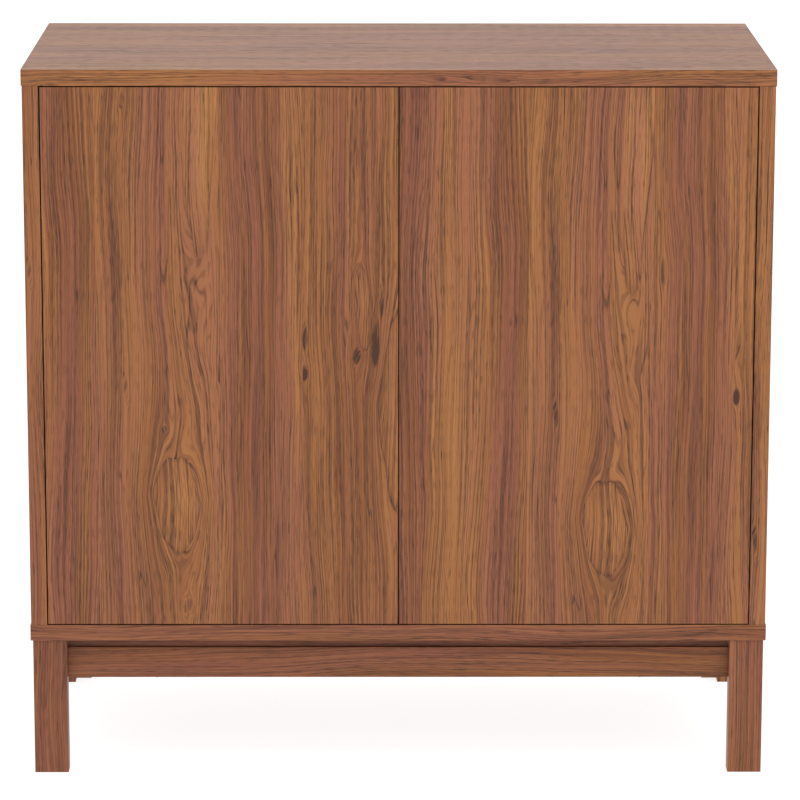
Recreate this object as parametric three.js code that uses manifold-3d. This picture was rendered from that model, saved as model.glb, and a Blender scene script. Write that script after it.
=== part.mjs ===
// Storage cabinet with two inset doors on concealed cup hinges, a centre partition and two shelves,
// standing on four L-section legs joined by aprons.
// Millimetres, +Z up, doors facing -Y, origin on the floor under the middle of the cabinet.
import * as THREE from 'three';
import { mergeVertices } from 'three/addons/utils/BufferGeometryUtils.js';
import Module from 'manifold-3d';

const wasm = await Module();
wasm.setup();

// Overall sizes
const cabinetWidth = 830;
const cabinetDepth = 400;
const cabinetHeight = 805;
const legHeight = 156;

// Boards and the play between them
const boardThickness = 18;
const backThickness = 4;
const jointGap = 0.3;
const sideInset = 1; // the top and bottom boards stand this far past the sides
const backSetIn = 10; // from the rear edge to the back panel's groove
const grooveDepth = 6;

// Doors
const doorGap = 1.5;
const doorStandoff = 2; // from a closed door to the partition behind it

// Shelves, their support pins and the rows of pin holes
const shelfSideGap = 1;
const shelfSetback = 12; // behind the closed doors
const pinRadius = 2.5;
const pinDepth = 8;
const pinHoleRow = 140; // either side of the middle
const pinHolePitch = 32;
const pinHoleRows = [-1, 0, 1];
const pinTabLength = 11;
const pinTabWidth = 9;
const pinTabThickness = 2.4;

// Legs, aprons and the battens between the aprons and the cabinet floor
const legWidth = 38;
const legLeaf = 20;
const legInset = 2.5;
const apronHeight = 35;
const apronSetback = 15; // behind the legs' outer faces
const battenHeight = 13;
const battenThickness = 14;
const battenSetback = 4; // behind the apron's outer face
const apronScrewSpan = 548; // between the two screws of one apron
const screwRadius = 2.5;
const screwHeadRadius = 4;
const screwHeadHeight = 1.4;
const screwBite = 11; // into the cabinet floor

// Cup hinges. Plan places are from the side panel's inner face and from the doors' front plane.
const hingeFromDoorEnd = 90;
const cupRadius = 17.4;
const cupDepth = 12.9;
const cupWall = 1;
const cupFromDoorEdge = 5;
const cupFlangeRadius = 20.5;
const cupEarLength = 62;
const cupEarWidth = 12;
const cupReliefDepth = 7; // from the rim, where the wall is cut away for the open links
const swingFromDoorEdge = 11.5; // the axis that the door turns on
const swingInDoorBack = 13;
const doorOpening = 105; // degrees
const innerLinkCupRadius = 8.8; // from the axis to where the link meets the cup
const outerLinkCupRadius = 10.5;
const innerLinkClearance = 0.67; // from the link's eye to the cup's floor
const outerPinFromInner = { u: -3.8, v: 11.649 }; // between the two links' pins on the arm
const outerLinkElbow = { pastCupEnd: 5.484, aboveCupFloor: 3.551 };
const linkHalfWidth = 2;
const linkEyeRadius = 2.8;
const linkThickness = 5;
const linkPinRadius = 1.3;
const armHalfHeight = 8.4;
const armCheek = 1.8;
const armHalfWidth = 2.8;
const armTipHalfWidth = 2.3;
const armTipClearance = 1.1855; // from the arm's tip to the cup's wall
const armSeam = 0.5; // the web and the pins end this far inside the cheeks' outer faces
const armHeelFromSide = 10.2; // where the arm leaves the side panel
const armNeckFromPin = { u: 0.3, v: 7.281 }; // from the outer link's pin
const armHeelBehindNeck = 10.5;
const armEndBehindDoor = 62;
const plateBehindDoor = 37; // the mounting screws' line
const plateThickness = 3;
const plateWingLength = 50;
const plateWingWidth = 12;
const plateBossLength = 38;
const plateBossWidth = 14;
const plateBossHeight = 6.3;

// Push latches
const latchLength = 75;
const latchWidth = 14;
const latchFromPartition = 2;
const latchHeight = 17;
const latchSetback = 10; // behind the closed doors
const latchBoreDepth = 34;
const plungerRadius = 4;
const plungerLength = 34;
const plungerPlay = 0.4;
const strikeRadius = 6;
const strikeThickness = 1;
const strikeGap = 0.6;

// Places that follow from them
const frontY = -cabinetDepth / 2;
const backY = cabinetDepth / 2;
const floorTop = legHeight + boardThickness;
const topUnderside = cabinetHeight - boardThickness;
const sideOuter = cabinetWidth / 2 - sideInset;
const sideInner = sideOuter - boardThickness;
const doorBackY = frontY + boardThickness;
const doorBottom = floorTop + doorGap;
const doorTop = topUnderside - doorGap;
const partitionHalf = boardThickness / 2;
const backPanelFront = backY - backSetIn - jointGap - backThickness;
const middleLevel = (floorTop + topUnderside) / 2;
const apronTop = legHeight - battenHeight;
const legInnerX = cabinetWidth / 2 - legInset - legWidth;
const legOuterX = cabinetWidth / 2 - legInset;
const legOuterY = cabinetDepth / 2 - legInset;
const legInnerY = legOuterY - legWidth;
const hingeLevels = { lower: doorBottom + hingeFromDoorEnd, upper: doorTop - hingeFromDoorEnd };
const cupCentre = { u: doorGap + cupFromDoorEdge + cupRadius, v: boardThickness };
const swing = { u: doorGap + swingFromDoorEdge, v: boardThickness - swingInDoorBack };
const cupFloor = boardThickness - cupDepth + cupWall;
const cupChord = Math.sqrt((cupRadius - cupWall) ** 2 - armHalfHeight ** 2);
const innerPin = {
  u: cupCentre.u + cupChord - armTipHalfWidth - armTipClearance,
  v: cupFloor + innerLinkClearance + linkEyeRadius,
};
const linkPins = {
  inner: hingeLink(innerPin, innerLinkCupRadius),
  outer: hingeLink(placeFrom(innerPin, outerPinFromInner), outerLinkCupRadius),
};

const cabinet = new THREE.Group();

function material(color, roughness, metalness) {
  return new THREE.MeshStandardMaterial({ color, roughness, metalness });
}

const finishes = {
  laminate: () => material(0x956446, 0.5, 0),
  backing: () => material(0x8a5c42, 0.7, 0),
  nickel: () => material(0xb8b5ae, 0.32, 0.95),
  zinc: () => material(0x8d8b86, 0.42, 0.95),
  blackened: () => material(0x2c2a29, 0.5, 0.8),
  greyPlastic: () => material(0xb9b6b0, 0.5, 0),
};

function add(name, geometry, finish) {
  const mesh = new THREE.Mesh(geometry, finishes[finish]());
  mesh.name = name;
  cabinet.add(mesh);
}

// A closed geometry as a solid, for cutting and joining.
function toSolid(geometry) {
  const bare = geometry.clone();
  bare.deleteAttribute('normal');
  bare.deleteAttribute('uv');
  const merged = mergeVertices(bare, 1e-4);
  return new wasm.Manifold(new wasm.Mesh({
    numProp: 3,
    vertProperties: new Float32Array(merged.attributes.position.array),
    triVerts: new Uint32Array(merged.index.array),
  }));
}

function toGeometry(solid) {
  const mesh = solid.getMesh();
  const geometry = new THREE.BufferGeometry();
  geometry.setAttribute('position', new THREE.BufferAttribute(new Float32Array(mesh.vertProperties), 3));
  geometry.setIndex(new THREE.BufferAttribute(new Uint32Array(mesh.triVerts), 1));
  geometry.computeVertexNormals();
  return geometry;
}

// A block between two opposite corners, given in any order.
function block(x0, x1, y0, y1, z0, z1) {
  const geometry = new THREE.BoxGeometry(Math.abs(x1 - x0), Math.abs(y1 - y0), Math.abs(z1 - z0));
  return geometry.translate((x0 + x1) / 2, (y0 + y1) / 2, (z0 + z1) / 2);
}

// A round rod along X, Y or Z between two places on that axis.
function rod(axis, radius, start, end, across, segments) {
  const geometry = new THREE.CylinderGeometry(radius, radius, Math.abs(end - start), segments);
  const middle = (start + end) / 2;
  if (axis === 'x') return geometry.rotateZ(Math.PI / 2).translate(middle, across[0], across[1]);
  if (axis === 'y') return geometry.translate(across[0], middle, across[1]);
  return geometry.rotateX(Math.PI / 2).translate(across[0], across[1], middle);
}

function prism(points, z0, z1) {
  const shape = new THREE.Shape(points);
  const geometry = new THREE.ExtrudeGeometry(shape, { depth: z1 - z0, bevelEnabled: false });
  return geometry.translate(0, 0, z0);
}

// A flat bar with round ends from one plan point to another.
function strap(from, to, halfWidth, z0, z1) {
  const heading = Math.atan2(to.y - from.y, to.x - from.x);
  const outline = new THREE.Shape();
  outline.absarc(from.x, from.y, halfWidth, heading + Math.PI / 2, heading + 1.5 * Math.PI, false);
  outline.absarc(to.x, to.y, halfWidth, heading - Math.PI / 2, heading + Math.PI / 2, false);
  const settings = { depth: z1 - z0, bevelEnabled: false, curveSegments: 3 };
  const geometry = new THREE.ExtrudeGeometry(outline, settings);
  return geometry.translate(0, 0, z0);
}

function joined(geometries) {
  return geometries.map(toSolid).reduce((whole, next) => whole.add(next));
}

function cut(geometry, cutters) {
  return toGeometry(cutters.map(toSolid).reduce((whole, next) => whole.subtract(next), toSolid(geometry)));
}

// Plan places near a hinge. side is -1 at the left and 1 at the right.
function planPoint(side, place) {
  return new THREE.Vector2(side * (sideInner - place.u), frontY + place.v);
}

function polar(centre, radius, degrees) {
  const angle = THREE.MathUtils.degToRad(degrees);
  return { u: centre.u + radius * Math.cos(angle), v: centre.v + radius * Math.sin(angle) };
}

// A link's pin in the arm is as far from its cup end with the door open as with it shut,
// so it lies on the line from the door's axis that halves the cup end's turn.
function hingeLink(arm, radius) {
  const bearing = THREE.MathUtils.radToDeg(Math.atan2(arm.v - swing.v, arm.u - swing.u));
  return { arm, cup: polar(swing, radius, bearing + doorOpening / 2) };
}

function placeFrom(place, step) {
  return { u: place.u + step.u, v: place.v + step.v };
}

function addCarcass() {
  const grooveFront = backPanelFront - jointGap;
  const grooveBack = backY - backSetIn;
  const grooveEnd = sideInner + grooveDepth;
  const screwY = legOuterY - apronSetback - boardThickness / 2;
  const grooveFloor = floorTop - grooveDepth;
  const floorCuts = [block(-grooveEnd, grooveEnd, grooveFront, grooveBack, grooveFloor, floorTop + 1)];
  for (const sideX of [-1, 1]) {
    for (const sideY of [-1, 1]) {
      const at = [sideX * apronScrewSpan / 2, sideY * screwY];
      floorCuts.push(rod('z', screwRadius + jointGap, legHeight - 1, legHeight + screwBite + 1, at, 12));
    }
  }
  const half = cabinetWidth / 2;
  add('top_panel', cut(
    block(-half, half, frontY, backY, topUnderside, cabinetHeight),
    [block(-grooveEnd, grooveEnd, grooveFront, grooveBack, topUnderside - 1, topUnderside + grooveDepth)],
  ), 'laminate');
  add('bottom_panel', cut(block(-half, half, frontY, backY, legHeight, floorTop), floorCuts), 'laminate');
  for (const [name, side] of [['left', -1], ['right', 1]]) {
    const grooveIn = side * (sideInner - 1);
    const cuts = [block(grooveIn, side * grooveEnd, grooveFront, grooveBack, 0, cabinetHeight)];
    cuts.push(...pinHoles(side, side * sideInner));
    add(`${name}_side_panel`, cut(block(side * sideInner, side * sideOuter, frontY, backY,
      floorTop + jointGap, topUnderside - jointGap), cuts), 'laminate');
  }
  add('centre_partition', cut(block(-partitionHalf, partitionHalf, doorBackY + doorStandoff,
    backPanelFront - jointGap, floorTop + jointGap, topUnderside - jointGap),
  [...pinHoles(-1, -partitionHalf, -1), ...pinHoles(1, partitionHalf, -1)]), 'laminate');
  const backHalf = grooveEnd - jointGap;
  const backReach = grooveDepth - jointGap;
  add('back_panel', block(-backHalf, backHalf, backPanelFront, backPanelFront + backThickness,
    floorTop - backReach, topUnderside + backReach), 'backing');
}

// Blind holes for the shelf pins in an upright face; inward is 1 where the board lies away from the middle.
function pinHoles(side, faceX, inward = 1) {
  const holes = [];
  for (const row of pinHoleRows) {
    for (const sideY of [-1, 1]) {
      const at = [sideY * pinHoleRow, middleLevel + row * pinHolePitch];
      const end = faceX + side * inward * (pinDepth + jointGap);
      const start = faceX - side * inward;
      holes.push(rod('x', pinRadius + jointGap, Math.min(start, end), Math.max(start, end), at, 10));
    }
  }
  return holes;
}

function addShelf(name, side) {
  const inner = partitionHalf + shelfSideGap;
  const outer = sideInner - shelfSideGap;
  const bottom = middleLevel + pinRadius + jointGap;
  add(`${name}_shelf`, block(side * inner, side * outer, doorBackY + shelfSetback,
    backPanelFront - jointGap - shelfSideGap, bottom, bottom + boardThickness), 'laminate');
  for (const [depthName, sideY] of [['front', -1], ['rear', 1]]) {
    addShelfPin(`${name}_shelf_${depthName}_outer_pin`, side * sideInner, -side, sideY * pinHoleRow);
    addShelfPin(`${name}_shelf_${depthName}_inner_pin`, side * partitionHalf, side, sideY * pinHoleRow);
  }
}

// A pin in a board's face with a flat tab under the shelf; out points from the face into the compartment.
function addShelfPin(name, faceX, out, y) {
  const tabTop = middleLevel + pinRadius;
  const shankEnds = [faceX - out * pinDepth, faceX + out * pinTabThickness];
  const shank = rod('x', pinRadius, ...shankEnds, [y, middleLevel], 10);
  const tab = block(faceX + out * jointGap, faceX + out * pinTabLength, y - pinTabWidth / 2,
    y + pinTabWidth / 2, tabTop - pinTabThickness, tabTop);
  add(name, toGeometry(joined([shank, tab])), 'nickel');
}

function addDoor(name, side) {
  const near = side * (sideInner - doorGap);
  const far = side * doorGap / 2;
  const cups = Object.values(hingeLevels).map((level) => {
    const centre = planPoint(side, cupCentre);
    const boreEnd = doorBackY - cupDepth - jointGap;
    return rod('y', cupRadius + jointGap, boreEnd, doorBackY + 1, [centre.x, level], 32);
  });
  add(`${name}_door`, cut(block(near, far, frontY, doorBackY, doorBottom, doorTop), cups), 'laminate');
  add(`${name}_strike_plate`, rod('y', strikeRadius, doorBackY + jointGap,
    doorBackY + jointGap + strikeThickness, [side * latchX(), latchLevel()], 20), 'zinc');
}

function latchX() {
  return partitionHalf + latchFromPartition + latchWidth / 2;
}

function latchLevel() {
  return topUnderside - jointGap - latchHeight / 2;
}

function addLatch(name, side) {
  const x = side * latchX();
  const z = latchLevel();
  const housingFront = doorBackY + latchSetback;
  const tip = doorBackY + jointGap + strikeThickness + strikeGap;
  const housing = block(x - latchWidth / 2, x + latchWidth / 2, housingFront, housingFront + latchLength,
    z - latchHeight / 2, z + latchHeight / 2);
  const boreRadius = plungerRadius + plungerPlay;
  const bore = rod('y', boreRadius, housingFront - 1, housingFront + latchBoreDepth, [x, z], 16);
  add(`${name}_latch_housing`, cut(housing, [bore]), 'greyPlastic');
  add(`${name}_latch_plunger`, rod('y', plungerRadius, tip, tip + plungerLength, [x, z], 16), 'greyPlastic');
}

function addHinge(name, side, level) {
  addHingeCup(`${name}_hinge_cup`, side, level);
  addMountingPlate(`${name}_hinge_plate`, side, level);
  addHingeArm(`${name}_hinge_arm`, side, level);
  const low = level - jointGap - linkThickness;
  const high = level + jointGap + linkThickness;
  const { inner, outer } = linkPins;
  addLink(`${name}_hinge_inner_link`, side, [inner.arm, inner.cup], low, level - jointGap);
  const elbow = { u: outer.cup.u + outerLinkElbow.pastCupEnd, v: cupFloor + outerLinkElbow.aboveCupFloor };
  addLink(`${name}_hinge_outer_link`, side, [outer.arm, elbow, outer.cup], level + jointGap, high);
}

// Straps from the arm's pin to the cup, with a running hole on the pin.
function addLink(name, side, places, z0, z1) {
  const points = places.map((place) => planPoint(side, place));
  const straps = points.slice(1).map((point, i) => strap(points[i], point, linkHalfWidth, z0, z1));
  const eye = rod('z', linkEyeRadius, z0, z1, [points[0].x, points[0].y], 16);
  const hole = rod('z', linkPinRadius + jointGap, z0 - 1, z1 + 1, [points[0].x, points[0].y], 12);
  add(name, toGeometry(joined([...straps, eye]).subtract(toSolid(hole))), 'nickel');
}

function addHingeCup(name, side, level) {
  const mouth = doorBackY + jointGap;
  const bottom = doorBackY - cupDepth;
  const rim = mouth + cupWall;
  const profile = [[0, bottom], [cupRadius - 1.5, bottom], [cupRadius, bottom + 1.5], [cupRadius, mouth],
    [cupFlangeRadius, mouth], [cupFlangeRadius, rim], [0, rim]];
  const centre = planPoint(side, cupCentre);
  const outer = new THREE.LatheGeometry(profile.map(([r, y]) => new THREE.Vector2(r, y)), 32);
  outer.translate(centre.x, 0, level);
  const ears = block(centre.x - cupEarWidth / 2, centre.x + cupEarWidth / 2, mouth, rim,
    level - cupEarLength / 2, level + cupEarLength / 2);
  const hollow = rod('y', cupRadius - cupWall, bottom + cupWall, rim + 1, [centre.x, level], 32);
  const reliefHalf = linkThickness + 2 * jointGap;
  const relief = block(centre.x, centre.x + side * 2 * cupRadius, rim - cupReliefDepth, rim + 1,
    level - reliefHalf, level + reliefHalf);
  const body = joined([outer, ears]).subtract(toSolid(hollow)).subtract(toSolid(relief));
  add(name, toGeometry(body), 'nickel');
}

function addMountingPlate(name, side, level) {
  const line = doorBackY + plateBehindDoor;
  const face = sideInner - jointGap;
  const wings = block(side * face, side * (face - plateThickness), line - plateWingWidth / 2,
    line + plateWingWidth / 2, level - plateWingLength / 2, level + plateWingLength / 2);
  const boss = block(side * face, side * (face - plateBossHeight), line - plateBossLength / 2,
    line + plateBossLength / 2, level - plateBossWidth / 2, level + plateBossWidth / 2);
  add(name, toGeometry(joined([wings, boss])), 'nickel');
}

// Two cheeks that carry the link pins, joined by a web along the side away from the compartment.
function addHingeArm(name, side, level) {
  const { inner, outer } = linkPins;
  const neck = placeFrom(outer.arm, armNeckFromPin);
  const heel = { u: armHeelFromSide, v: neck.v + armHeelBehindNeck };
  const end = { u: armHeelFromSide, v: boardThickness + armEndBehindDoor };
  const spine = [[neck, heel], [heel, end]];
  const cheekInside = armHalfHeight - armCheek;
  const low = level - armHalfHeight + armSeam;
  const high = level + armHalfHeight - armSeam;
  const pieces = [];
  for (const [z0, z1] of [[-armHalfHeight, -cheekInside], [cheekInside, armHalfHeight]]) {
    const bar = (from, to, halfWidth) => (
      strap(planPoint(side, from), planPoint(side, to), halfWidth, level + z0, level + z1));
    pieces.push(bar(inner.arm, outer.arm, armTipHalfWidth));
    for (const [from, to] of [[outer.arm, neck], ...spine]) pieces.push(bar(from, to, armHalfWidth));
  }
  for (const [from, to] of spine) {
    pieces.push(strap(planPoint(side, from), planPoint(side, to), armCheek / 2, low, high));
  }
  for (const pin of [inner.arm, outer.arm]) {
    const at = planPoint(side, pin);
    pieces.push(rod('z', linkPinRadius, low, high, [at.x, at.y], 12));
  }
  add(name, toGeometry(joined(pieces)), 'nickel');
}

// An L-section leg: one leaf along the front or back, one along the side.
function addLeg(name, sideX, sideY) {
  const outline = [[0, 0], [legWidth, 0], [legWidth, legLeaf],
    [legLeaf, legLeaf], [legLeaf, legWidth], [0, legWidth]];
  const points = outline.map(([inX, inY]) => (
    new THREE.Vector2(sideX * (legOuterX - inX), sideY * (legOuterY - inY))));
  add(name, prism(points, 0, legHeight - jointGap), 'laminate');
}

// An apron between two legs, its ends stepped to lap behind the legs' leaves.
// Written for one along X; the side aprons swap the two plan directions.
function apronOutline(halfSpan, faceOut, lapOut, lapSpan) {
  const back = faceOut - boardThickness;
  const shoulder = lapOut - jointGap;
  return [[-halfSpan, faceOut], [halfSpan, faceOut], [halfSpan, shoulder], [lapSpan, shoulder],
    [lapSpan, back], [-lapSpan, back], [-lapSpan, shoulder], [-halfSpan, shoulder]];
}

function addBase() {
  const frontSpan = legInnerX - jointGap;
  const sideSpan = legInnerY - jointGap;
  const frontFace = legOuterY - apronSetback;
  const sideFace = legOuterX - apronSetback;
  const apronBottom = apronTop - apronHeight;
  const battenLow = apronTop + jointGap;
  const battenHigh = legHeight - jointGap;
  const screwY = frontFace - boardThickness / 2;
  const frontReach = legOuterX - legLeaf - jointGap;
  const sideReach = frontFace - boardThickness - jointGap;
  const frontOutline = apronOutline(frontSpan, frontFace, legOuterY - legLeaf, frontReach);
  const sideOutline = apronOutline(sideSpan, sideFace, legOuterX - legLeaf, sideReach);
  for (const [name, sideY] of [['front', -1], ['rear', 1]]) {
    const places = [['left', -1], ['right', 1]].map(([end, sideX]) => (
      { end, at: [sideX * apronScrewSpan / 2, sideY * screwY] }));
    const holes = places.map(({ at }) => (
      rod('z', screwRadius + jointGap, apronBottom - 1, legHeight, at, 12)));
    const points = frontOutline.map(([x, y]) => new THREE.Vector2(x, sideY * y));
    const battenFace = sideY * (frontFace - battenSetback);
    add(`${name}_apron`, cut(prism(points, apronBottom, apronTop), holes), 'laminate');
    add(`${name}_batten`, cut(block(-frontSpan, frontSpan, battenFace,
      battenFace - sideY * battenThickness, battenLow, battenHigh), holes), 'laminate');
    for (const { end, at } of places) {
      const headTop = apronBottom - jointGap;
      const head = rod('z', screwHeadRadius, headTop - screwHeadHeight, headTop, at, 16);
      const shank = rod('z', screwRadius, apronBottom - jointGap - 1, legHeight + screwBite, at, 12);
      add(`${name}_${end}_apron_screw`, toGeometry(joined([head, shank])), 'blackened');
    }
  }
  for (const [name, sideX] of [['left', -1], ['right', 1]]) {
    const points = sideOutline.map(([y, x]) => new THREE.Vector2(sideX * x, y));
    const battenFace = sideX * (sideFace - battenSetback);
    add(`${name}_apron`, prism(points, apronBottom, apronTop), 'laminate');
    add(`${name}_batten`, block(battenFace, battenFace - sideX * battenThickness,
      -sideSpan, sideSpan, battenLow, battenHigh), 'laminate');
    for (const [end, sideY] of [['front', -1], ['rear', 1]]) addLeg(`${end}_${name}_leg`, sideX, sideY);
  }
}

addCarcass();
addBase();
for (const [name, side] of [['left', -1], ['right', 1]]) {
  addShelf(name, side);
  addDoor(name, side);
  addLatch(name, side);
  for (const [level, z] of Object.entries(hingeLevels)) addHinge(`${name}_${level}`, side, z);
}

export default cabinet;
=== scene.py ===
import math
import bmesh
import bpy
from mathutils import Matrix, Vector


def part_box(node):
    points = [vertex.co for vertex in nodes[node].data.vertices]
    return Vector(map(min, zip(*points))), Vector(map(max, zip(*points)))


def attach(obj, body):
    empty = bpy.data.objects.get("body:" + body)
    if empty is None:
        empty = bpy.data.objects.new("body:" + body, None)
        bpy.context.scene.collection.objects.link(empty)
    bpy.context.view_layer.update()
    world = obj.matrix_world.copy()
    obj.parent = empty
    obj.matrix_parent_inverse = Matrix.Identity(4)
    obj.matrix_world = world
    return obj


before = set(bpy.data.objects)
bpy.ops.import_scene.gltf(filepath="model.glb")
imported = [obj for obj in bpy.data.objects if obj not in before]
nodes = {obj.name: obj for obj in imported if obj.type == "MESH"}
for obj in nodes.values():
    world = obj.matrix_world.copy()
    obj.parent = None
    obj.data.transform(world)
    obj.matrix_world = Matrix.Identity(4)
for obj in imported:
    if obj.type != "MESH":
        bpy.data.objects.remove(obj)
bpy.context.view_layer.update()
print("frame loaded:", len(nodes), "parts")


# Turns an sRGB hex colour into linear values.
def linear(hexColour):
    channels = [int(hexColour[i:i + 2], 16) / 255 for i in (1, 3, 5)]
    return [c / 12.92 if c <= 0.04045 else ((c + 0.055) / 1.055) ** 2.4 for c in channels] + [1.0]


# Adds one node with its settings and links, and gives back one of its outputs.
def wire(tree, kind, links=None, out=0, **settings):
    made = tree.nodes.new(kind)
    for name, value in settings.items():
        setattr(made, name, value)
    for name, value in (links or {}).items():
        if isinstance(value, bpy.types.NodeSocket):
            tree.links.new(value, made.inputs[name])
        else:
            made.inputs[name].default_value = value
    return made.outputs[out] if made.outputs else made


# Puts its stops on the colour ramp that an output belongs to.
def fillRamp(socket, stops):
    ramp = socket.node.color_ramp
    while len(ramp.elements) < len(stops):
        ramp.elements.new(0.5)
    for element, (place, colour) in zip(ramp.elements, stops):
        element.position = place
        element.color = colour
    return socket


camera = {
    "place": (-0.025, -4.60, 1.421),
    "pitch": 11.96,  # degrees down
    "yaw": 0.39,  # degrees towards the right
    "roll": 0.09,
    "lens": 182.0,
    "shift": (-0.004, -0.06),
}


def placeCamera(settings):
    pitch, yaw, roll = (math.radians(settings[k]) for k in ("pitch", "yaw", "roll"))
    ahead = Vector((math.sin(yaw) * math.cos(pitch), math.cos(yaw) * math.cos(pitch), -math.sin(pitch)))
    right = ahead.cross(Vector((0, 0, 1))).normalized()
    up = right.cross(ahead)
    tiltedRight = right * math.cos(roll) + up * math.sin(roll)
    tiltedUp = up * math.cos(roll) - right * math.sin(roll)
    data = bpy.data.cameras.new("viewCamera")
    data.lens = settings["lens"]
    data.sensor_width = 36
    data.shift_x, data.shift_y = settings["shift"]
    data.clip_end = 100
    eye = bpy.data.objects.new("viewCamera", data)
    turned = Matrix((tiltedRight, tiltedUp, -ahead)).transposed().to_4x4()
    eye.matrix_world = Matrix.Translation(settings["place"]) @ turned
    bpy.context.scene.collection.objects.link(eye)
    bpy.context.scene.camera = eye


placeCamera(camera)
print("camera placed")

studio = {
    "sky": "#FFFFFF",
    "skyStrength": 1.02,
    "floor": "#8C8B8A",
    "floorGlow": 0.86,
    "floorRadius": 40.0,
    "floorDrop": 0.0005,  # keeps the floor just clear of the feet
    "key": {"place": (1.6, -2.6, 3.0), "size": 2.6, "power": 40, "aim": (0, 0, 0.5)},
    "fill": {"place": (-2.6, -1.6, 2.4), "size": 2.2, "power": 6, "aim": (0, 0, 0.5)},
}


def softLight(name, settings):
    data = bpy.data.lights.new(name, "AREA")
    data.shape = "DISK"
    data.size = settings["size"]
    data.energy = settings["power"]
    lamp = bpy.data.objects.new(name, data)
    lamp.location = settings["place"]
    heading = Vector(settings["aim"]) - Vector(settings["place"])
    lamp.rotation_euler = heading.to_track_quat("-Z", "Y").to_euler()
    bpy.context.scene.collection.objects.link(lamp)


def newMaterial(name):
    made = bpy.data.materials.new(name)
    made.use_nodes = True
    made.node_tree.nodes.clear()
    return made, made.node_tree


def buildStudio(settings):
    world = bpy.data.worlds.new("studio")
    bpy.context.scene.world = world
    world.use_nodes = True
    sky = world.node_tree.nodes["Background"]
    sky.inputs["Color"].default_value = linear(settings["sky"])
    sky.inputs["Strength"].default_value = settings["skyStrength"]
    softLight("keyLight", settings["key"])
    softLight("fillLight", settings["fill"])
    # Backlit opal acrylic: an even pale glow that softens the shadow under the cabinet.
    floorMaterial, tree = newMaterial("backlitAcrylicFloor")
    acrylic = wire(tree, "ShaderNodeBsdfPrincipled",
                   {"Base Color": linear(settings["floor"]), "Roughness": 0.9,
                    "Emission Color": linear(settings["sky"]), "Emission Strength": settings["floorGlow"]})
    wire(tree, "ShaderNodeOutputMaterial", {"Surface": acrylic})
    mesh = bmesh.new()
    bmesh.ops.create_circle(mesh, cap_ends=True, segments=64, radius=settings["floorRadius"])
    data = bpy.data.meshes.new("floor")
    mesh.to_mesh(data)
    mesh.free()
    data.materials.append(floorMaterial)
    floor = bpy.data.objects.new("floor", data)
    floor.location = (0, 0, -settings["floorDrop"])
    bpy.context.scene.collection.objects.link(floor)
    view = bpy.context.scene.view_settings
    view.view_transform = "Standard"
    view.look = "None"


buildStudio(studio)
print("studio built")

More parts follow.
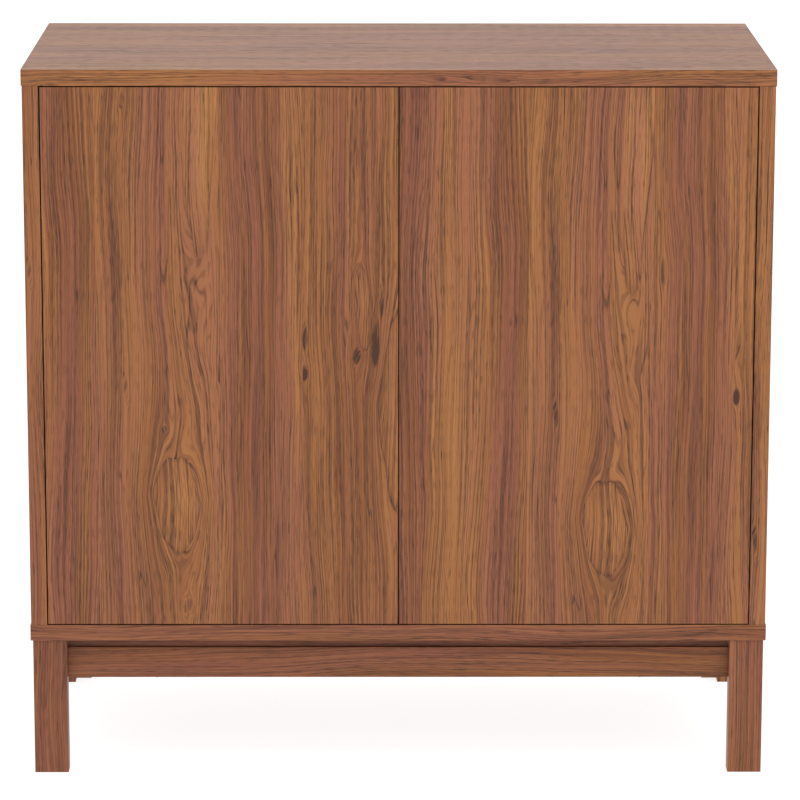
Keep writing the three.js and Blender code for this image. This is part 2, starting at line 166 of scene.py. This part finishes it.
# Melamine-faced chipboard: a paper printed with walnut-coloured planks, pressed under a thin
# clear resin. It gives a satin surface, flat colour in soft bands, dark veins and fine pores.
# Every place is in millimetres on the print: across the grain, then along it.
laminatePrint = {
    "repeat": 480,
    "plankEdges": [-85, 58, 195, 287, 395],
    "bands": [  # (place across, tone from 0 dark to 1 golden)
        (-85, .20), (-66, .28), (-50, .54), (-42, .66), (-20, .74), (0, .56), (14, .50), (24, .38),
        (36, .32), (50, .38), (57.8, .42), (58.2, .78), (72, .72), (84, .46), (92, .36), (106, .54),
        (122, .60), (140, .46), (152, .42), (166, .62), (184, .70), (194.8, .66), (195.2, .42), (215, .36),
        (235, .28), (262, .42), (276, .66), (286.8, .68), (287.2, .56), (342, .44), (358, .36),
        (394.8, .62)],
    "tones": [(0.0, "#4E2A19"), (0.20, "#69391F"), (0.40, "#804C2A"), (0.55, "#8D5931"), (0.75, "#9C6638"),
              (1.0, "#AC7743")],
    "rosy": "#8A5143",  # the redder wood that drifts through the golden
    "ink": "#45281B",  # the greyish brown of veins, pores and knots
    "ovals": [  # (across, along, half width, half length, step inside, darkness of the outline)
        (146, 318, 24, 56, 3, .45), (172, 790, 20, 190, -3, .30), (393, 425, 22, 116, 3, .60),
        (351, 545, 11, 52, 3, .45), (1106, 318, 24, 56, 3, .45), (1132, 790, 20, 200, -3, .35),
        (330, 1330, 16, 90, 3, .35), (610, 1230, 18, 120, -3, .30)],
    "knots": [  # (across, along, half width, half length, darkness)
        (90, 771, 3, 12, .7), (91, 451, 2.5, 20, .5), (188, 468, 2.6, 9, 1.3), (134, 400, 3, 6, .5),
        (155, 199, 4, 9, .5), (290, 468, 4, 7, 1.4), (293, 508, 2.5, 18, .8), (364, 500, 5, 19, 1.5),
        (346, 480, 4, 10, 1.3), (370, 545, 2.5, 18, 1.0), (332, 520, 2, 20, .6),
        (1050, 451, 2.5, 20, .7), (1164, 609, 3, 12, .9), (988, 558, 2, 5, .6), (1252, 468, 3, 7, .9),
        (1256, 520, 4, 26, .4), (98, 1200, 3, 9, .8), (101, 1253, 3, 20, .5), (560, 1420, 3, 12, .7)],
    "waver": (13, 44),  # how far the outlines of ovals and knots wander, across and along
    "pointed": 1.25,  # draws the ends of an oval out to a point, where 1 leaves them nearly round
    "calm": 0.22,  # how much lighter the middle of an oval is
    "drift": 34,  # how far the grain wanders sideways
    "plankGap": 0.4,  # how far inside its plank the bands of tone are held
    "veinFolds": 8.0,  # how many contour lines the noise of the veins is folded into
    "streaks": {  # size across and along, detail, roughness and seed of each layer of noise
        "drift": (100, 380, 2.0, 0.5, 3.0), "waver": (34, 90, 1.0, 0.5, 8.0),
        "broad": (13, 900, 2.0, 0.5, 1.0), "narrow": (3.0, 520, 2.0, 0.6, 2.0),
        "fibre": (1.05, 170, 1.0, 0.5, 4.0), "hair": (1.2, 240, 0.0, 0.5, 12.0),
        "vein": (15, 560, 1.2, 0.45, 5.0), "veinFade": (30, 160, 1.0, 0.5, 6.0),
        "pore": (0.8, 17, 0.0, 0.5, 7.0),  # real pores are about 0.2 mm wide, drawn coarser to show
        "crowd": (11, 260, 1.0, 0.5, 9.0), "rosy": (24, 520, 1.0, 0.5, 11.0)},
    "seedStep": 5.7,
    "plankSeedStep": 37.3,
    "toneStart": -0.59,
    "toneShares": {"broad": 0.38, "narrow": 0.56, "fibre": 0.66, "band": 0.66},
    "inkShares": {"vein": 1.05, "hair": 0.50, "pore": 0.34},
}


# Gives the edges of the plank that a place lies in, and the plank's number.
def findPlank(tree, across, edges):
    low, high, plank = edges[0], edges[1], 0.0
    for i, edge in enumerate(edges[1:-1], 1):
        beyond = wire(tree, "ShaderNodeMath", {0: across, 1: edge}, operation="GREATER_THAN")
        low = wire(tree, "ShaderNodeMath", {0: beyond, 1: edge - edges[i - 1], 2: low},
                   operation="MULTIPLY_ADD")
        high = wire(tree, "ShaderNodeMath", {0: beyond, 1: edges[i + 1] - edge, 2: high},
                    operation="MULTIPLY_ADD")
        plank = wire(tree, "ShaderNodeMath", {0: beyond, 1: 1.0, 2: plank}, operation="MULTIPLY_ADD")
    return low, high, plank


# Turns the grain aside round every oval and knot, and says how dark each leaves the print.
def partGrain(tree, settings, spot, flow):
    mathNode, vectorNode, calm = "ShaderNodeMath", "ShaderNodeVectorMath", settings["calm"]
    dark = 0.0
    marks = [(*place, step, outline) for *place, step, outline in settings["ovals"]]
    marks += [(*place, 0.0, core) for *place, core in settings["knots"]]
    for acrossAt, alongAt, halfWidth, halfLength, step, ink in marks:
        offset = wire(tree, vectorNode, {0: spot, 1: (acrossAt, alongAt, 0)}, operation="SUBTRACT")
        scaled = wire(tree, vectorNode, {0: offset, 1: (1 / halfWidth, 1 / halfLength, 0)},
                      operation="MULTIPLY")
        reach = wire(tree, vectorNode, {0: scaled, 1: scaled}, out="Value", operation="DOT_PRODUCT")
        if step:
            aside = wire(tree, vectorNode, {0: scaled, 1: (1, 0, 0)}, out="Value", operation="DOT_PRODUCT")
            ends = wire(tree, vectorNode, {0: scaled, 1: (0, 1, 0)}, out="Value", operation="DOT_PRODUCT")
            ends = wire(tree, mathNode, {0: ends}, operation="ABSOLUTE")
            ends = wire(tree, mathNode, {0: ends, 1: settings["pointed"]}, operation="POWER")
            reach = wire(tree, mathNode, {0: aside, 1: aside, 2: ends}, operation="MULTIPLY_ADD")
        outside = wire(tree, mathNode, {0: reach, 1: 1.0}, operation="MAXIMUM")
        sideways = wire(tree, vectorNode, {0: offset, 1: (1, 0, 0)}, out="Value", operation="DOT_PRODUCT")
        parted = wire(tree, mathNode, {0: sideways, 1: outside}, operation="DIVIDE")
        if step:  # the grain parts round an oval and runs straight on inside its outline
            beyond = wire(tree, mathNode, {0: reach, 1: 1.0}, operation="GREATER_THAN")
            parted = wire(tree, mathNode, {0: parted, 1: beyond}, operation="MULTIPLY")
        flow = wire(tree, mathNode, {0: flow, 1: parted}, operation="SUBTRACT")
        if step:
            inside = wire(tree, mathNode, {0: reach, 1: 1.0}, operation="MINIMUM")
            flow = wire(tree, mathNode, {0: inside, 1: step, 2: flow}, operation="MULTIPLY_ADD")
            flow = wire(tree, mathNode, {0: flow, 1: step}, operation="SUBTRACT")
            rim = wire(tree, "ShaderNodeMapRange", {"Value": reach, "From Min": 1.07, "From Max": 1.0,
                                                    "To Max": ink})
            rimEnd = wire(tree, "ShaderNodeMapRange", {"Value": reach, "From Min": 0.90, "From Max": 1.0})
            rim = wire(tree, mathNode, {0: rim, 1: rimEnd}, operation="MULTIPLY")
            rim = wire(tree, mathNode, {0: inside, 1: calm, 2: rim}, operation="MULTIPLY_ADD")
            rim = wire(tree, mathNode, {0: rim, 1: calm}, operation="SUBTRACT")
        else:
            rim = wire(tree, "ShaderNodeMapRange", {"Value": reach, "From Min": 1.5, "From Max": 0.3,
                                                    "To Max": ink})
        dark = wire(tree, mathNode, {0: dark, 1: rim}, operation="ADD")
    return flow, dark


def buildPrint(settings):
    tree = bpy.data.node_groups.new("walnutPrint", "ShaderNodeTree")
    face = tree.interface
    for name in ("Across", "Along", "ToneAndShade"):
        face.new_socket(name, in_out="INPUT", socket_type="NodeSocketFloat")
    face.new_socket("Colour", in_out="OUTPUT", socket_type="NodeSocketColor")
    face.new_socket("Pores", in_out="OUTPUT", socket_type="NodeSocketFloat")
    given = wire(tree, "NodeGroupInput").node.outputs
    mathNode, rangeNode = "ShaderNodeMath", "ShaderNodeMapRange"
    edges, repeat = settings["plankEdges"], settings["repeat"]
    first = edges[0]
    # The planks repeat with the print, but the ovals and knots differ over three repeats.
    wide = wire(tree, mathNode, {0: given["Across"], 1: first + 3 * repeat, 2: first}, operation="WRAP")
    across = wire(tree, mathNode, {0: wide, 1: first + repeat, 2: first}, operation="WRAP")
    along = given["Along"]
    low, high, plank = findPlank(tree, across, edges)
    plankSeed = wire(tree, mathNode, {0: plank, 1: settings["plankSeedStep"]}, operation="MULTIPLY")

    def streaks(layer, place, out="Fac"):
        acrossSize, alongSize, detail, roughness, seed = settings["streaks"][layer]
        sizes = wire(tree, "ShaderNodeCombineXYZ", {0: place, 1: along, 2: plankSeed})
        spread = wire(tree, "ShaderNodeVectorMath",
                      {0: sizes, 1: (1 / acrossSize, 1 / alongSize, 1.0),
                       2: (0.0, 0.0, seed * settings["seedStep"])}, operation="MULTIPLY_ADD")
        return wire(tree, "ShaderNodeTexNoise",
                    {"Vector": spread, "Scale": 1.0, "Detail": detail, "Roughness": roughness}, out=out)

    drift = streaks("drift", across)
    waver = streaks("waver", across, out="Color")
    reachOut = settings["drift"]
    shift = wire(tree, mathNode, {0: drift, 1: reachOut, 2: -reachOut / 2}, operation="MULTIPLY_ADD")
    bent = wire(tree, mathNode, {0: wide, 1: shift}, operation="ADD")
    spot = wire(tree, "ShaderNodeCombineXYZ", {0: bent, 1: along, 2: 0.0})
    sway, lengthSway = settings["waver"]
    spot = wire(tree, "ShaderNodeVectorMath",
                {0: waver, 1: (sway, lengthSway, 0.0), 2: spot}, operation="MULTIPLY_ADD")
    spot = wire(tree, "ShaderNodeVectorMath",
                {0: spot, 1: (sway / 2, lengthSway / 2, 0.0)}, operation="SUBTRACT")
    flow, dark = partGrain(tree, settings, spot, shift)

    flowing = wire(tree, mathNode, {0: across, 1: flow}, operation="ADD")
    lowLimit = wire(tree, mathNode, {0: low, 1: settings["plankGap"]}, operation="ADD")
    highLimit = wire(tree, mathNode, {0: high, 1: -settings["plankGap"]}, operation="ADD")
    held = wire(tree, mathNode, {0: flowing, 1: lowLimit}, operation="MAXIMUM")
    held = wire(tree, mathNode, {0: held, 1: highLimit}, operation="MINIMUM")
    share = wire(tree, rangeNode, {"Value": held, "From Min": first, "From Max": first + repeat})
    band = fillRamp(wire(tree, "ShaderNodeValToRGB", {"Fac": share}),
                    [((a - first) / repeat, (t, t, t, 1)) for a, t in settings["bands"]])
    layers = {name: streaks(name, flowing) for name in ("broad", "narrow", "fibre")}
    layers["band"] = band

    # Veins are the contour lines of a broad noise, which fade in and out along the board.
    hairField, veinField, veinFade, poreField, crowd = (
        streaks(name, flowing) for name in ("hair", "vein", "veinFade", "pore", "crowd"))
    lines = wire(tree, mathNode, {0: veinField, 1: settings["veinFolds"]}, operation="MULTIPLY")
    lines = wire(tree, mathNode, {0: lines, 1: 0.5}, operation="PINGPONG")
    vein = wire(tree, rangeNode, {"Value": lines, "From Min": 0.055, "From Max": 0.0})
    strength = wire(tree, rangeNode, {"Value": veinFade, "From Min": 0.42, "From Max": 0.62, "To Max": 0.60})
    vein = wire(tree, mathNode, {0: vein, 1: strength}, operation="MULTIPLY")

    # Hairs and pores crowd together in the dark bands.
    crowded = wire(tree, mathNode, {0: band, 1: -0.10, 2: 0.07}, operation="MULTIPLY_ADD")
    crowded = wire(tree, mathNode, {0: crowd, 1: 0.30, 2: crowded}, operation="MULTIPLY_ADD")
    hairDepth = wire(tree, mathNode, {0: hairField, 1: crowded}, operation="ADD")
    hair = wire(tree, rangeNode, {"Value": hairDepth, "From Min": 0.66, "From Max": 0.80})
    poreDepth = wire(tree, mathNode, {0: poreField, 1: crowded}, operation="ADD")
    pore = wire(tree, rangeNode, {"Value": poreDepth, "From Min": 0.74, "From Max": 0.84})

    # The given tone shift is partly the print's own tone and partly painted shade and light on each board.
    tone = wire(tree, mathNode, {0: given["ToneAndShade"], 1: settings["toneStart"]}, operation="ADD")
    for name, part in settings["toneShares"].items():
        tone = wire(tree, mathNode, {0: layers[name], 1: part, 2: tone}, operation="MULTIPLY_ADD")
    glow = wire(tree, mathNode, {0: dark, 1: 0.0}, operation="MINIMUM")
    tone = wire(tree, mathNode, {0: tone, 1: glow}, operation="SUBTRACT")
    wood = fillRamp(wire(tree, "ShaderNodeValToRGB", {"Fac": tone}),
                    [(place, linear(colour)) for place, colour in settings["tones"]])

    grainy = wire(tree, rangeNode, {"Value": layers["fibre"], "From Min": 0.62, "From Max": 0.38,
                                    "To Min": 0.35, "To Max": 1.1})
    inked = wire(tree, mathNode, {0: dark, 1: grainy}, operation="MULTIPLY")
    inked = wire(tree, mathNode, {0: inked, 1: 0.0}, operation="MAXIMUM")
    inks = {"vein": vein, "hair": hair, "pore": pore}
    for name, part in settings["inkShares"].items():
        inked = wire(tree, mathNode, {0: inks[name], 1: part, 2: inked}, operation="MULTIPLY_ADD")

    rosyShare = wire(tree, rangeNode, {"Value": streaks("rosy", flowing), "From Min": 0.38,
                                       "From Max": 0.62, "To Max": 0.46})
    colour = wire(tree, "ShaderNodeMix", {0: rosyShare, 6: wood, 7: linear(settings["rosy"])},
                  out=2, data_type="RGBA")
    colour = wire(tree, "ShaderNodeMix", {0: inked, 6: colour, 7: linear(settings["ink"])},
                  out=2, data_type="RGBA")
    wire(tree, "NodeGroupOutput", {"Colour": colour, "Pores": pore})
    return tree


walnutPrint = buildPrint(laminatePrint)
print("laminate print built")

# Grain of each board, its place on the print (across, along) in mm, and how much lighter its print is: part
# print tone, part painted shade, darker low down and lighter on the top and right side.
boards = {
    "left_door": ("upright", 394, 0, 0.0), "right_door": ("upright", 874, 28, 0.02),
    "left_side_panel": ("upright", 499, -130, -0.05), "right_side_panel": ("upright", 649, 172, 0.10),
    "centre_partition": ("upright", 300, 900, 0.0),
    "top_panel": ("lengthways", -698, 1156, 0.12), "bottom_panel": ("lengthways", 65, 1300, 0.04),
    "left_shelf": ("lengthways", 180, 700, 0.0), "right_shelf": ("lengthways", 420, 1400, 0.0),
    "front_apron": ("lengthways", -5, 1500, -0.12), "rear_apron": ("lengthways", 300, 1100, -0.05),
    "front_batten": ("lengthways", 90, 800, -0.1), "rear_batten": ("lengthways", 60, 600, -0.1),
    "left_apron": ("crossways", 130, 1000, -0.08), "right_apron": ("crossways", 240, 1250, 0.0),
    "left_batten": ("crossways", 20, 900, -0.1), "right_batten": ("crossways", 90, 1900, -0.1),
    "front_left_leg": ("upright", 617, 900, -0.07), "front_right_leg": ("upright", -314, 1000, -0.08),
    "rear_left_leg": ("upright", 480, 1200, -0.1), "rear_right_leg": ("upright", 60, 1500, -0.05),
}
laminate = {
    "ior": 1.34,  # below the 1.5 of clear melamine, because the satin texture scatters part of the gloss
    "roughness": 0.40,
    "poreRoughness": 0.14,
    "bump": 0.12,
    "dents": (0.9, 16),  # width and length of the texture pressed into the resin
    "edgeRadius": 0.0004,
}


# Which axis runs across and which along the grain, on faces that look along X, Y and Z.
grainAxes = {
    "upright": (((0, 1, 0), (0, 0, 1)), ((1, 0, 0), (0, 0, 1)), ((0, 1, 0), (1, 0, 0))),
    "lengthways": (((0, 0, 1), (0, 1, 0)), ((0, 0, 1), (1, 0, 0)), ((0, 1, 0), (1, 0, 0))),
    "crossways": (((0, 0, 1), (0, 1, 0)), ((0, 0, 1), (1, 0, 0)), ((1, 0, 0), (0, 1, 0))),
}


# Gives the place across and along the grain, in millimetres, whichever way a face looks.
def grainPlace(tree, grain, acrossStart, alongStart):
    point = wire(tree, "ShaderNodeTexCoord", out="Object")
    normal = wire(tree, "ShaderNodeVectorMath", {0: point.node.outputs["Normal"]}, operation="ABSOLUTE")
    looks = wire(tree, "ShaderNodeSeparateXYZ", {0: normal}).node.outputs
    facesX = wire(tree, "ShaderNodeMath", {0: looks["X"], 1: 0.71}, operation="GREATER_THAN")
    facesZ = wire(tree, "ShaderNodeMath", {0: looks["Z"], 1: 0.71}, operation="GREATER_THAN")
    places = []
    for k, start in ((0, acrossStart), (1, alongStart)):
        onX, onY, onZ = (pair[k] for pair in grainAxes[grain])
        axis = wire(tree, "ShaderNodeMix", {0: facesX, 4: onY, 5: onX}, out=1, data_type="VECTOR")
        axis = wire(tree, "ShaderNodeMix", {0: facesZ, 4: axis, 5: onZ}, out=1, data_type="VECTOR")
        metres = wire(tree, "ShaderNodeVectorMath", {0: point, 1: axis}, out="Value",
                      operation="DOT_PRODUCT")
        places.append(wire(tree, "ShaderNodeMath", {0: metres, 1: 1000.0, 2: float(start)},
                           operation="MULTIPLY_ADD"))
    return places


def laminateMaterial(name, grain, acrossStart, alongStart, printToneAndShade):
    made, tree = newMaterial("printedLaminate_" + name)
    across, along = grainPlace(tree, grain, acrossStart, alongStart)
    colour = wire(tree, "ShaderNodeGroup", {"Across": across, "Along": along, "ToneAndShade": printToneAndShade},
                  out="Colour", node_tree=walnutPrint)
    pores = colour.node.outputs["Pores"]
    rough = wire(tree, "ShaderNodeMath", {0: pores, 1: laminate["poreRoughness"], 2: laminate["roughness"]},
                 operation="MULTIPLY_ADD")
    place = wire(tree, "ShaderNodeCombineXYZ", {0: across, 1: along})
    width, length = laminate["dents"]
    spread = wire(tree, "ShaderNodeVectorMath", {0: place, 1: (1 / width, 1 / length, 0.0)},
                  operation="MULTIPLY")
    dents = wire(tree, "ShaderNodeTexNoise", {"Vector": spread, "Scale": 1.0, "Detail": 1.0})
    bump = wire(tree, "ShaderNodeBump", {"Strength": laminate["bump"], "Distance": 0.0002, "Height": dents})
    surface = wire(tree, "ShaderNodeBsdfPrincipled",
                   {"Base Color": colour, "Roughness": rough, "IOR": laminate["ior"], "Normal": bump})
    wire(tree, "ShaderNodeOutputMaterial", {"Surface": surface})
    return made


def paint(piece, material):
    piece.data.materials.clear()
    piece.data.materials.append(material)


def roundEdges(piece, radius, segments=2):
    bevel = piece.modifiers.new("roundedEdges", "BEVEL")
    bevel.width = radius
    bevel.segments = segments
    bevel.limit_method = "ANGLE"
    bevel.angle_limit = math.radians(40)
    bevel.harden_normals = False


for name, (grain, acrossStart, alongStart, printToneAndShade) in boards.items():
    paint(nodes[name], laminateMaterial(name, grain, acrossStart, alongStart, printToneAndShade))
    roundEdges(nodes[name], laminate["edgeRadius"])
print("boards finished:", len(boards))

# Hardboard: pressed wood fibre, printed on the inside and bare behind, matt and speckled brown.
hardboard = {"bare": "#9A7350", "fleck": "#6E4C33", "fibre": 2.5, "cloudsPerMetre": 9.0, "roughness": 0.75,
             "printPlace": (700, 300), "printToneAndShade": -0.1}
# Nickel-plated pressed steel: a bright, slightly warm metal with a fine satin grain from the press.
nickel = {"colour": "#D0CBC1", "dull": "#C0BBB0", "roughness": (0.30, 0.42), "grain": 0.6}
# Zinc-plated steel: bluish grey, a little duller, mottled where the plating is thin.
zinc = {"colour": "#B4B7BA", "dull": "#8D9092", "roughness": (0.30, 0.48), "grain": 1.4}
# Blackened steel screws: dark oiled oxide with a soft, uneven sheen.
blackSteel = {"colour": "#3A3735", "dull": "#1F1D1C", "roughness": (0.38, 0.55), "grain": 0.8}
# Moulded acetal plastic: a light grey with a fine spark-eroded texture and a soft gloss.
acetal = {"colour": "#BDBAB4", "dull": "#A9A69F", "roughness": (0.40, 0.52), "grain": 0.5}
# Brown moulded polypropylene caps: flat even colour with a soft waxy gloss.
brownPlastic = {"colour": "#7A5140", "dull": "#6A4536", "roughness": (0.42, 0.55), "grain": 0.5}


# grain is the size of the mottling in millimetres.
def mottledMaterial(name, look, metallic=0.0):
    made, tree = newMaterial(name)
    point = wire(tree, "ShaderNodeTexCoord", out="Object")
    fine = wire(tree, "ShaderNodeTexNoise", {"Vector": point, "Scale": 1000 / look["grain"], "Detail": 2.0})
    wide = wire(tree, "ShaderNodeTexNoise", {"Vector": point, "Scale": 1000 / (look["grain"] * 12),
                                             "Detail": 3.0})
    share = wire(tree, "ShaderNodeMapRange", {"Value": wide, "From Min": 0.35, "From Max": 0.65})
    colour = wire(tree, "ShaderNodeMix", {0: share, 6: linear(look["colour"]), 7: linear(look["dull"])},
                  out=2, data_type="RGBA")
    smooth, dull = look["roughness"]
    rough = wire(tree, "ShaderNodeMapRange", {"Value": wide, "From Min": 0.3, "From Max": 0.7,
                                              "To Min": smooth, "To Max": dull})
    bump = wire(tree, "ShaderNodeBump", {"Strength": 0.08, "Distance": 0.0001, "Height": fine})
    surface = wire(tree, "ShaderNodeBsdfPrincipled",
                   {"Base Color": colour, "Roughness": rough, "Metallic": metallic, "Normal": bump})
    wire(tree, "ShaderNodeOutputMaterial", {"Surface": surface})
    return made


def hardboardMaterial(look):
    made, tree = newMaterial("pressedHardboard")
    point = wire(tree, "ShaderNodeTexCoord", out="Object")
    looks = wire(tree, "ShaderNodeSeparateXYZ", {0: point.node.outputs["Normal"]}).node.outputs
    behind = wire(tree, "ShaderNodeMath", {0: looks["Y"], 1: 0.5}, operation="GREATER_THAN")
    fleck = wire(tree, "ShaderNodeTexNoise", {"Vector": point, "Scale": 1000 / look["fibre"], "Detail": 4.0,
                                              "Roughness": 0.7})
    cloud = wire(tree, "ShaderNodeTexNoise", {"Vector": point, "Scale": look["cloudsPerMetre"],
                                              "Detail": 3.0})
    share = wire(tree, "ShaderNodeMapRange", {"Value": fleck, "From Min": 0.42, "From Max": 0.68,
                                              "To Max": 0.7})
    bare = wire(tree, "ShaderNodeMix", {0: share, 6: linear(look["bare"]), 7: linear(look["fleck"])},
                out=2, data_type="RGBA")
    across, along = grainPlace(tree, "upright", *look["printPlace"])
    printed = wire(tree, "ShaderNodeGroup", {"Across": across, "Along": along, "ToneAndShade": look["printToneAndShade"]},
                   out="Colour", node_tree=walnutPrint)
    colour = wire(tree, "ShaderNodeMix", {0: behind, 6: printed, 7: bare}, out=2, data_type="RGBA")
    rough = wire(tree, "ShaderNodeMapRange", {"Value": cloud, "To Min": look["roughness"] - 0.1,
                                              "To Max": look["roughness"] + 0.1})
    bump = wire(tree, "ShaderNodeBump", {"Strength": 0.15, "Distance": 0.0002, "Height": fleck})
    surface = wire(tree, "ShaderNodeBsdfPrincipled", {"Base Color": colour, "Roughness": rough,
                                                      "Normal": bump})
    wire(tree, "ShaderNodeOutputMaterial", {"Surface": surface})
    return made


finishes = {
    "nickel": mottledMaterial("nickelPlatedSteel", nickel, 1.0),
    "zinc": mottledMaterial("zincPlatedSteel", zinc, 1.0),
    "blackSteel": mottledMaterial("blackenedSteel", blackSteel, 1.0),
    "acetal": mottledMaterial("mouldedAcetal", acetal),
    "brownPlastic": mottledMaterial("mouldedBrownPlastic", brownPlastic),
}
paint(nodes["back_panel"], hardboardMaterial(hardboard))
fittingEdge = 0.0002
fittings = {"_hinge_": "nickel", "_pin": "nickel", "_screw": "blackSteel", "_strike_plate": "zinc",
            "_latch_": "acetal"}
for name, node in nodes.items():
    for part, finish in fittings.items():
        if part in name:
            paint(node, finishes[finish])
            roundEdges(node, fittingEdge, 1)
print("fittings finished")

# A cross recess: how far its arms and the corners between them reach, as shares of the radius,
# how narrow the arms are, and its depth as a share of the height.
screwHead = {"segments": 32, "arm": 0.46, "corner": 0.15, "armNarrowness": 0.85, "recess": 0.55}
# Rings of a pan head, a cap and a brad's head: share of the radius, share of the height.
headRings = [(0.90, 0.0), (1.0, 0.10), (1.0, 0.38), (0.93, 0.66), (0.78, 0.88), (0.56, 1.0)]
capRings = [(0.96, 0.0), (1.0, 0.12), (1.0, 0.45), (0.93, 0.80), (0.80, 0.97), (0.45, 1.0), (0.40, 0.86),
            (0.0, 0.84)]
nailRings = [(0.9, 0.0), (1.0, 0.4), (0.85, 0.9), (0.4, 1.0), (0.0, 1.0)]


# Turns rings into a closed round solid that stands on a face and looks along facing.
def turnedPiece(name, rings, radius, height, place, facing, body, finish, cross=False):
    count = screwHead["segments"]
    mesh = bmesh.new()
    layers = []
    for share, level in rings:
        if share == 0.0:
            layers.append([mesh.verts.new((0, 0, level * height))])
            continue
        layers.append([mesh.verts.new((share * radius * math.cos(math.tau * k / count),
                                       share * radius * math.sin(math.tau * k / count), level * height))
                       for k in range(count)])
    if cross:
        for level in (1.0, 1.0 - screwHead["recess"]):
            ring = []
            for k in range(count):
                angle = math.tau * k / count
                inArm = abs(math.cos(2 * angle)) > screwHead["armNarrowness"]
                share = (screwHead["arm"] if inArm else screwHead["corner"]) * radius
                ring.append(mesh.verts.new((share * math.cos(angle), share * math.sin(angle),
                                            level * height)))
            layers.append(ring)
        layers.append([mesh.verts.new((0, 0, (1.0 - screwHead["recess"]) * height))])
    mesh.faces.new(list(reversed(layers[0])))
    for below, above in zip(layers, layers[1:]):
        for k in range(count):
            after = (k + 1) % count
            if len(above) == 1:
                mesh.faces.new((below[k], below[after], above[0]))
            else:
                mesh.faces.new((below[k], below[after], above[after], above[k]))
    turn = Vector(facing).to_track_quat("Z", "Y").to_matrix().to_4x4()
    mesh.transform(Matrix.Translation(place) @ turn)
    data = bpy.data.meshes.new(name)
    mesh.to_mesh(data)
    mesh.free()
    for polygon in data.polygons:
        polygon.use_smooth = len(polygon.vertices) < 5 and not cross
    piece = bpy.data.objects.new(name, data)
    bpy.context.scene.collection.objects.link(piece)
    paint(piece, finishes[finish])
    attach(piece, body)


hingeScrews = {"radius": 0.0036, "height": 0.0016, "earReach": 0.024, "plateReach": 0.019,
               "wingTop": 0.0033,  # the plate's wings are 3 mm thick and stand 0.3 mm off the panel
               "armRadius": 0.003, "fromArmEnd": (0.0175, 0.0055), "armDepth": 0.0112}


def addHingeScrews(look):
    for side, out in (("left", -1), ("right", 1)):
        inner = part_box(side + "_side_panel")[1 if out < 0 else 0].x
        for level in ("lower", "upper"):
            prefix = side + "_" + level + "_hinge_"
            low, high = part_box(prefix + "cup")
            middle = (low + high) / 2
            plateLow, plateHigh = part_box(prefix + "plate")
            plateMiddle = (plateLow + plateHigh) / 2
            wing = inner - out * look["wingTop"]
            for way, label in ((-1, "low"), (1, "high")):
                turnedPiece(prefix + "cup_screw_" + label, headRings, look["radius"], look["height"],
                            (middle.x, high.y, middle.z + way * look["earReach"]), (0, 1, 0),
                            side + "_door", "nickel", cross=True)
                turnedPiece(prefix + "plate_screw_" + label, headRings, look["radius"], look["height"],
                            (wing, plateMiddle.y, plateMiddle.z + way * look["plateReach"]), (-out, 0, 0),
                            "cabinet", "nickel", cross=True)
            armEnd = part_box(prefix + "arm")[1].y
            for k, reach in enumerate(look["fromArmEnd"]):
                turnedPiece(prefix + f"arm_screw_{k + 1}", headRings, look["armRadius"], look["height"],
                            (inner - out * look["armDepth"], armEnd - reach, middle.z), (-out, 0, 0),
                            "cabinet", "nickel", cross=True)


camCaps = {"radius": 0.0085, "height": 0.0012, "fromEnd": 0.034, "fromFront": 0.05, "fromBack": 0.06}


def addCamCaps(look):
    low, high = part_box("centre_partition")
    levels = {"low": low.z + look["fromEnd"], "high": high.z - look["fromEnd"]}
    rows = {"front": low.y + look["fromFront"], "rear": high.y - look["fromBack"]}
    faces = {"left": (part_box("left_side_panel")[1].x, 1), "middle": (high.x, 1),
             "right": (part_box("right_side_panel")[0].x, -1)}
    for faceName, (x, way) in faces.items():
        for levelName, z in levels.items():
            for rowName, y in rows.items():
                turnedPiece(f"{faceName}_{levelName}_{rowName}_cam_cap", capRings, look["radius"],
                            look["height"], (x, y, z), (way, 0, 0), "cabinet",
                            "brownPlastic")


brads = {"radius": 0.0019, "height": 0.0005, "count": 6, "fromEnd": 0.045}


def addBrads(look):
    low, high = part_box("back_panel")
    for k in range(look["count"]):
        z = low.z + look["fromEnd"] + (high.z - low.z - 2 * look["fromEnd"]) * k / (look["count"] - 1)
        turnedPiece(f"back_brad_{k + 1}", nailRings, look["radius"], look["height"], (0, high.y, z),
                    (0, 1, 0), "cabinet", "zinc")


latchScrews = {"radius": 0.0028, "height": 0.0013, "spread": 0.024, "strikeRadius": 0.0022,
               "strikeHeight": 0.0004}


def addLatchScrews(look):
    for side in ("left", "right"):
        low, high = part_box(side + "_latch_housing")
        middle = (low + high) / 2
        for way, label in ((-1, "front"), (1, "rear")):
            turnedPiece(f"{side}_latch_screw_{label}", headRings, look["radius"], look["height"],
                        (middle.x, middle.y + way * look["spread"], low.z), (0, 0, -1), "cabinet",
                        "zinc", cross=True)
        plateLow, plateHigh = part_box(side + "_strike_plate")
        plateMiddle = (plateLow + plateHigh) / 2
        turnedPiece(f"{side}_strike_screw", headRings, look["strikeRadius"], look["strikeHeight"],
                    (plateMiddle.x, plateHigh.y, plateMiddle.z), (0, 1, 0), side + "_door",
                    "zinc", cross=True)


addHingeScrews(hingeScrews)
addCamCaps(camCaps)
addBrads(brads)
addLatchScrews(latchScrews)
print("screws, caps and brads added")

bpy.context.view_layer.update()
